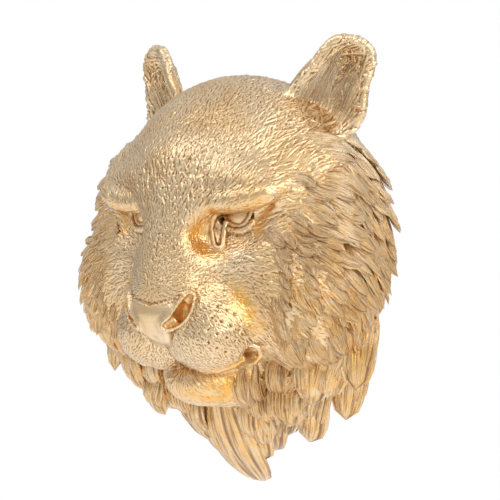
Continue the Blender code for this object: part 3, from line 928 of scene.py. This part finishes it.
class Tree:
    """A short way to write node trees."""

    def __init__(self, tree):
        self.tree = tree

    def add(self, kind, *inputs, **settings):
        """Adds a node and links or sets its inputs in order. None leaves one alone."""
        node = self.tree.nodes.new(kind)
        for key, value in settings.items():
            setattr(node, key, value)
        sockets = [s for s in node.inputs if s.enabled]
        for socket, value in zip(sockets, inputs):
            self.set(socket, value)
        return node

    def set(self, socket, value):
        """Links a socket to another node, or gives it a value."""
        if value is None:
            return
        if isinstance(value, bpy.types.Node):
            value = value.outputs[0]
        if isinstance(value, bpy.types.NodeSocket):
            self.tree.links.new(value, socket)
        else:
            socket.default_value = value

    def fill(self, node, inputs):
        """Links or sets a node's inputs by their names."""
        for name, value in inputs.items():
            self.set(node.inputs[name], value)
        return node

    def noise(self, spot, scale, detail, **fourth):
        """Noise at the spot, and along a fourth direction W where that is given."""
        kind = "4D" if fourth else "3D"
        inputs = {"Vector": spot, "Scale": scale, "Detail": detail, **fourth}
        return self.fill(self.add("ShaderNodeTexNoise", noise_dimensions=kind), inputs)

    def math(self, operation, *inputs):
        """A Math node."""
        return self.add("ShaderNodeMath", *inputs, operation=operation)

    def times(self, *inputs):
        """A Math node that multiplies two numbers."""
        return self.math("MULTIPLY", *inputs)


def put_sockets(tree, way, **kinds):
    """The inputs or outputs of a node group, by name and kind."""
    for name, kind in kinds.items():
        name, kind = name.replace("_", " "), "NodeSocket" + kind
        tree.interface.new_socket(name, in_out=way, socket_type=kind)


def lock_tree():
    """Geometry Nodes that draw a grooved, pointed lock along each guide line."""
    tree = bpy.data.node_groups.new("Locks", "GeometryNodeTree")
    put_sockets(tree, "INPUT", Guides="Geometry", Points_Around="Int", Thickness="Float",
                Groove_Depth="Float", Paint="Material")
    put_sockets(tree, "OUTPUT", Locks="Geometry")
    t = Tree(tree)
    into = t.add("NodeGroupInput").outputs
    facing = t.add("GeometryNodeInputNamedAttribute", "facing", data_type="FLOAT_VECTOR")
    curves = t.add("GeometryNodeMeshToCurve", into["Guides"])
    curves = t.add("GeometryNodeSetCurveNormal", curves, None, facing, mode="FREE")
    ring = t.add("GeometryNodeCurvePrimitiveCircle", into["Points Around"], mode="RADIUS")
    index = t.add("GeometryNodeInputIndex")
    last = t.math("SUBTRACT", into["Points Around"], 1.0)
    angle = t.math("MULTIPLY_ADD", t.math("DIVIDE", index, last), math.radians(220),
                   math.radians(-20))
    across, upper = t.math("COSINE", angle), t.math("SINE", angle)
    ridge = t.math("ABSOLUTE", t.math("SINE", t.times(index, math.pi / 4)))
    profile = ring
    for name, value in (("across", across), ("upper", upper), ("ridge", ridge)):
        profile = t.add("GeometryNodeStoreNamedAttribute", profile, None, name, value)
    flat = t.add("ShaderNodeCombineXYZ", t.times(upper, into["Thickness"]),
                 t.times(across, -1.0), 0.0)
    profile = t.add("GeometryNodeSetPosition", profile, None, flat)
    half, upper, ridge, share, lock = [
        t.add("GeometryNodeInputNamedAttribute", name, data_type="FLOAT")
        for name in ("half", "upper", "ridge", "share", "lock")]
    body = t.add("GeometryNodeCurveToMesh", curves, profile, half, True)
    spot = t.add("ShaderNodeCombineXYZ", ridge, t.times(share, 2.0), lock)
    low = t.math("SUBTRACT", ridge, 1.0)
    for factor in (t.math("MULTIPLY_ADD", t.noise(spot, 1.0, 1.0), 1.6, 0.2),
                   t.math("MAXIMUM", upper, 0.0), t.times(half, into["Groove Depth"])):
        low = t.times(low, factor)
    shift = t.add("ShaderNodeVectorMath", facing, operation="SCALE")
    t.set(shift.inputs["Scale"], low)
    body = t.add("GeometryNodeSetPosition", body, None, None, shift)
    body = t.add("GeometryNodeSetShadeSmooth", body)
    body = t.add("GeometryNodeRealizeInstances", body)
    body = t.add("GeometryNodeSetMaterial", body, None, into["Paint"])
    t.add("NodeGroupOutput", body)
    return tree


def dress(guides, tree, **sizes):
    """The mesh that the tree draws along the guides, as a plain object."""
    modifier = guides.modifiers.new("Locks", "NODES")
    modifier.node_group = tree
    for item in tree.interface.items_tree:
        key = item.name.replace(" ", "_").lower()
        if item.in_out == "INPUT" and key in sizes:
            modifier[item.identifier] = sizes[key]
    graph = bpy.context.evaluated_depsgraph_get()
    mesh = bpy.data.meshes.new_from_object(guides.evaluated_get(graph))
    name = guides.name
    bpy.data.objects.remove(guides, do_unlink=True)
    points = np.zeros(len(mesh.vertices) * 3)
    mesh.vertices.foreach_get("co", points)
    points[1::3] = np.minimum(points[1::3], WALL_GAP)
    mesh.vertices.foreach_set("co", points)
    mesh.update()
    return put_in_scene(name, mesh)


# Paint.

def mapped(t, value, low, high, floor=0.0, top=1.0):
    """The value with low to high stretched to floor to top."""
    inputs = {"From Min": low, "From Max": high, "To Min": floor, "To Max": top}
    return t.fill(t.add("ShaderNodeMapRange", value), inputs)


def mixed(t, share, first, second):
    """A blend of two colours."""
    node = t.add("ShaderNodeMix", data_type="RGBA")
    t.set(node.inputs["Factor"], share)
    t.set(node.inputs[6], first)
    t.set(node.inputs[7], second)
    return node.outputs[2]


def gold_paint_and_shade():
    """Node group of the gold paint: brown in hollows as painted shade with some patina, pale on
    crests, amber in places.
    """
    tree = bpy.data.node_groups.new("Gold Paint And Shade", "ShaderNodeTree")
    put_sockets(tree, "INPUT", Hollow="Float", Relief="Float", Amber="Float", Depth="Float")
    put_sockets(tree, "OUTPUT", Color="Color", Roughness="Float", Normal="Vector")
    t = Tree(tree)
    given = t.add("NodeGroupInput").outputs
    place = t.add("ShaderNodeTexCoord").outputs["Object"]
    cloud, patches = t.noise(place, 28.0, 3.0), t.noise(place, 130.0, 3.0)
    colour = mixed(t, mapped(t, cloud, 0.40, 0.64, 0.0, 0.7), CREST_GOLD, WARM_GOLD)
    share = t.times(given["Amber"], mapped(t, patches, 0.38, 0.60, 0.35, 1.0))
    colour = mixed(t, share, colour, AMBER)
    # Hollows mixed towards the brown: painted shade, with some of the paint's patina.
    colour = mixed(t, mapped(t, given["Hollow"], 0.45, 0.85), colour, SHADE_AND_PATINA_GOLD)
    grain = t.noise(place, 900.0, 2.0)
    height = t.math("ADD", given["Relief"], t.times(grain, 0.45))
    inputs = {"Strength": 0.8, "Distance": given["Depth"], "Height": height}
    bump = t.fill(t.add("ShaderNodeBump"), inputs)
    rough = mapped(t, grain, 0.0, 1.0, 0.20, 0.40)
    t.add("NodeGroupOutput", colour, rough, bump)
    return tree


def gold_material(name, paint_and_shade, depth, coat, source):
    """Gold paint whose painted shade in the hollows, fine relief and amber come from the
    source's sockets.
    """
    material = bpy.data.materials.new(name)
    material.use_nodes = True
    t = Tree(material.node_tree)
    shader = material.node_tree.nodes["Principled BSDF"]
    hollow, relief, patch = source(t)
    inputs = {"Hollow": hollow, "Relief": relief, "Amber": patch, "Depth": depth}
    paint = t.fill(t.add("ShaderNodeGroup", node_tree=paint_and_shade), inputs).outputs
    t.fill(shader, {"Metallic": 0.85, "Coat Weight": coat, "Coat Roughness": 0.16,
                    "Base Color": paint["Color"], "Roughness": paint["Roughness"],
                    "Normal": paint["Normal"]})
    return material


def marks_of(t, *names):
    """The mesh's own numbers of these names, as sockets."""
    return [t.add("ShaderNodeAttribute", attribute_name=name).outputs["Fac"] for name in names]


def fur_source(t):
    """Painted shade in the hollows between the strokes, and fine hairs that run away from the
    nose, with painted shade where they are low.
    """
    hollow, bare_part, patch = marks_of(t, "hollow", "bare", "amber")
    place = t.add("ShaderNodeTexCoord").outputs["Object"]
    off = t.add("ShaderNodeVectorMath", place, (0, -0.152, -0.014), operation="SUBTRACT")
    away = t.add("ShaderNodeVectorMath", off, operation="LENGTH").outputs["Value"]
    way = t.add("ShaderNodeVectorMath", off, operation="NORMALIZE")
    hairs = None
    for count, low, high in ((34.0, 0.0, 0.0), (68.0, 0.045, 0.075), (136.0, 0.09, 0.15)):
        spread = t.add("ShaderNodeVectorMath", way, operation="SCALE")
        t.set(spread.inputs["Scale"], count)
        finer = t.noise(spread, 1.0, 1.0, W=t.times(away, 190.0)).outputs["Fac"]
        if hairs is None:
            hairs = finer
        else:
            mix = t.add("ShaderNodeMix", data_type="FLOAT")
            t.set(mix.inputs["Factor"], mapped(t, away, low, high))
            t.set(mix.inputs[2], hairs)
            t.set(mix.inputs[3], finer)
            hairs = mix.outputs[0]
    furry = t.math("SUBTRACT", 1.0, bare_part)
    # Browner where the fine hairs' bump is low: painted shade in their grooves.
    lines = t.times(mapped(t, hairs, 0.3, 0.7, 0.2, -0.2), furry)
    return t.math("ADD", hollow, lines), t.times(hairs, furry), patch


def strand_source(t):
    """Strands along each lock, with painted shade in brown between its ridges and strands, more
    brown towards the bottom and less up by the ears, and amber outward and low down.
    """
    across, share, lock, ridge = marks_of(t, "across", "share", "lock", "ridge")
    spot = t.add("ShaderNodeCombineXYZ", t.times(across, 7.0), t.times(share, 1.8), lock)
    strands = t.noise(spot, 1.0, 2.0).outputs["Fac"]
    place = t.add("ShaderNodeSeparateXYZ", t.add("ShaderNodeTexCoord").outputs["Object"]).outputs
    outward = mapped(t, t.math("ABSOLUTE", place["X"]), 0.05, 0.11, 0.05, 0.50)
    outward = t.times(outward, mapped(t, place["Z"], 0.09, 0.05, 0.1, 1.0))
    lower = mapped(t, place["Z"], 0.02, -0.09, 0.0, 0.65)
    # Brown between the lock's ridges and its strands: painted shade in the grooves.
    between = mapped(t, ridge, 0.5, 0.0, 0.0, 0.35)
    hollow = t.math("ADD", mapped(t, strands, 0.64, 0.30, 0.0, 0.8), between)
    # More brown towards the bottom.
    hollow = t.math("ADD", hollow, mapped(t, place["Z"], -0.07, -0.12, 0.0, 0.18))
    # Less brown up by the ears: painted light, the paint lightened where the ears' hollows lie
    # in shade.
    hollow = t.times(hollow, mapped(t, place["Z"], 0.075, 0.10, 1.0, 0.5))
    patch = t.math("MINIMUM", t.math("ADD", outward, lower), 0.75)
    return hollow, mapped(t, strands, 0.3, 0.7), patch


# Stage.

def make_camera():
    """The photograph's view: from the tiger's left front, almost level."""
    azimuth, elevation = math.radians(35), math.radians(2)
    back = Vector((math.sin(azimuth) * math.cos(elevation),
                   -math.cos(azimuth) * math.cos(elevation), math.sin(elevation)))
    data = bpy.data.cameras.new("camera")
    data.sensor_width = SENSOR
    data.lens = SENSOR * DISTANCE / PICTURE_SPAN
    data.clip_start, data.clip_end = 0.05, 60
    camera = put_in_scene("camera", data)
    camera.location = Vector(TARGET) + back * DISTANCE
    camera.rotation_euler = (-back).to_track_quat("-Z", "Y").to_euler()
    bpy.context.scene.camera = camera


def area_light(name, place, size, power):
    """A soft square light that points at the head."""
    data = bpy.data.lights.new(name, "AREA")
    data.shape, data.size, data.energy = "SQUARE", size, power
    light = put_in_scene(name, data)
    light.location = place
    way = Vector((0, -0.05, 0)) - Vector(place)
    light.rotation_euler = way.to_track_quat("-Z", "Y").to_euler()


def make_stage():
    """Pale floor well below, soft lights, and a pale room."""
    floor = mesh_object("floor", [(-9000, -9000, -1200), (9000, -9000, -1200),
                                  (9000, 9000, -1200), (-9000, 9000, -1200)], [(0, 1, 2, 3)])
    plain = bpy.data.materials.new("floor_pale")
    plain.use_nodes = True
    shader = plain.node_tree.nodes["Principled BSDF"]
    Tree(plain.node_tree).fill(shader, {
        "Base Color": (0.95, 0.95, 0.95, 1), "Roughness": 0.9,
        "Emission Color": WHITE, "Emission Strength": 0.30})
    floor.data.materials.append(plain)
    for light in LIGHTS:
        area_light(*light)
    world = bpy.data.worlds.new("room")
    bpy.context.scene.world = world
    world.use_nodes = True
    t = Tree(world.node_tree)
    room = world.node_tree.nodes["Background"]
    out = world.node_tree.nodes["World Output"]
    way = t.add("ShaderNodeSeparateXYZ", t.add("ShaderNodeTexCoord").outputs["Generated"])
    strength = mapped(t, way.outputs["Z"], -0.5, 0.7, 0.20, 0.80)
    t.fill(room, {"Color": WHITE, "Strength": strength})
    backdrop = t.add("ShaderNodeBackground", WHITE, 1.0)
    seen = t.add("ShaderNodeLightPath").outputs["Is Camera Ray"]
    both = t.add("ShaderNodeMixShader", seen, room, backdrop)
    t.set(out.inputs["Surface"], both)
    bpy.context.scene.view_settings.view_transform = "Standard"


def make_back(node):
    """The flat back with its keyhole, copied from the CAD part."""
    source = node.data
    points = np.zeros(len(source.vertices) * 3)
    source.vertices.foreach_get("co", points)
    points = points.reshape(-1, 3)
    faces = np.array([tuple(p.vertices) for p in source.polygons])
    spots = points[faces]
    flat = (spots[:, :, 1] > -0.0002).all(1)
    half_width, deep, height, half_height = KEYHOLE
    recess = ((np.abs(spots[:, :, 0]) < half_width) & (spots[:, :, 1] > deep)
              & (np.abs(spots[:, :, 2] - height) < half_height)).all(1)
    chosen = faces[flat | recess]
    _, first, same = np.unique(np.round(points, 6), axis=0, return_index=True,
                               return_inverse=True)
    used, place = np.unique(same.ravel()[chosen], return_inverse=True)
    return mesh_object("back", points[first[used]] / MM, place.reshape(-1, 3))


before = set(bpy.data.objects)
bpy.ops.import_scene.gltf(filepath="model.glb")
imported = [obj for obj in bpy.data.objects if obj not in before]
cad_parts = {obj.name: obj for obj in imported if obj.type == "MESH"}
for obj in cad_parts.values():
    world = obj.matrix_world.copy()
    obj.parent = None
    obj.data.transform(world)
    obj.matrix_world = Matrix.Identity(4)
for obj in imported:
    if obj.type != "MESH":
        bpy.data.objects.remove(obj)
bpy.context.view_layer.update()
make_camera()
make_stage()

rng = np.random.default_rng(7)
paint_and_shade = gold_paint_and_shade()
fur_gold = gold_material("gold_fur", paint_and_shade, 0.0004, 0.5, fur_source)
lock_gold = gold_material("gold_locks", paint_and_shade, 0.0018, 0.9, strand_source)

skin, skin_faces = make_skin()
skin, naked = grow_fur(rng, skin, skin_faces)
skin_normals = corner_normals(skin, skin_faces)
depth = hollows(skin, skin_faces, skin_normals)
# hollow: painted shade with some patina in the skin's hollows; amber: partly painted shade.
skin_marks = {"hollow": shade_and_patina_mark(skin, depth), "bare": naked, "amber": amber(skin)}
middles = skin[skin_faces].mean(1)
left, height = middles[:, 0] > 0, middles[:, 2]
on_ear = ear(folded(middles)) < 1.5
neck = (middles[:, 1] >= -60) & ~on_ear
pieces = []
for name, part in (("ear", on_ear), ("jaw", ~on_ear & ~neck & (height < -24)),
                   ("face", ~on_ear & ~neck & (height >= -24) & (height < 42)),
                   ("brow", ~on_ear & ~neck & (height >= 42))):
    for side, half in (("left", left), ("right", ~left)):
        pieces.append(skin_piece(name + "_" + side, skin, skin_faces[part & half],
                                 skin_normals, skin_marks))
pieces.append(skin_piece("neck", skin, skin_faces[neck], skin_normals, skin_marks))
for piece in pieces:
    piece.data.materials.append(fur_gold)

tree = lock_tree()
for name, flip in (("ruff_left", 1), ("ruff_right", -1)):
    sets = [draw(rng, STATIONS) for draw in (ruff_guides, hanging_guides, ear_guides)]
    lines, facings, widths = [np.concatenate(part) for part in zip(*sets)]
    guides = guide_object(name, lines * (flip, 1, 1), facings * (flip, 1, 1), widths, leaf)
    pieces.append(dress(guides, tree, points_around=13, thickness=0.46,
                        groove_depth=0.28, paint=lock_gold))
beard, beard_facing = free_guide((0, -84, -92), (0, -27, -BEARD_DROP), 14, 9)
guides = guide_object("beard", beard[None], beard_facing[None], np.array([44.0]), leaf)
pieces.append(dress(guides, tree, points_around=25, thickness=0.32,
                    groove_depth=0.12, paint=lock_gold))
back = make_back(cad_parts["tiger_head"])
back.data.materials.append(fur_gold)
pieces.append(back)

for piece in pieces:
    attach(piece, "root")
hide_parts("tiger_head")

for piece in pieces:
    print(piece.name, sum(len(p.vertices) - 2 for p in piece.data.polygons))
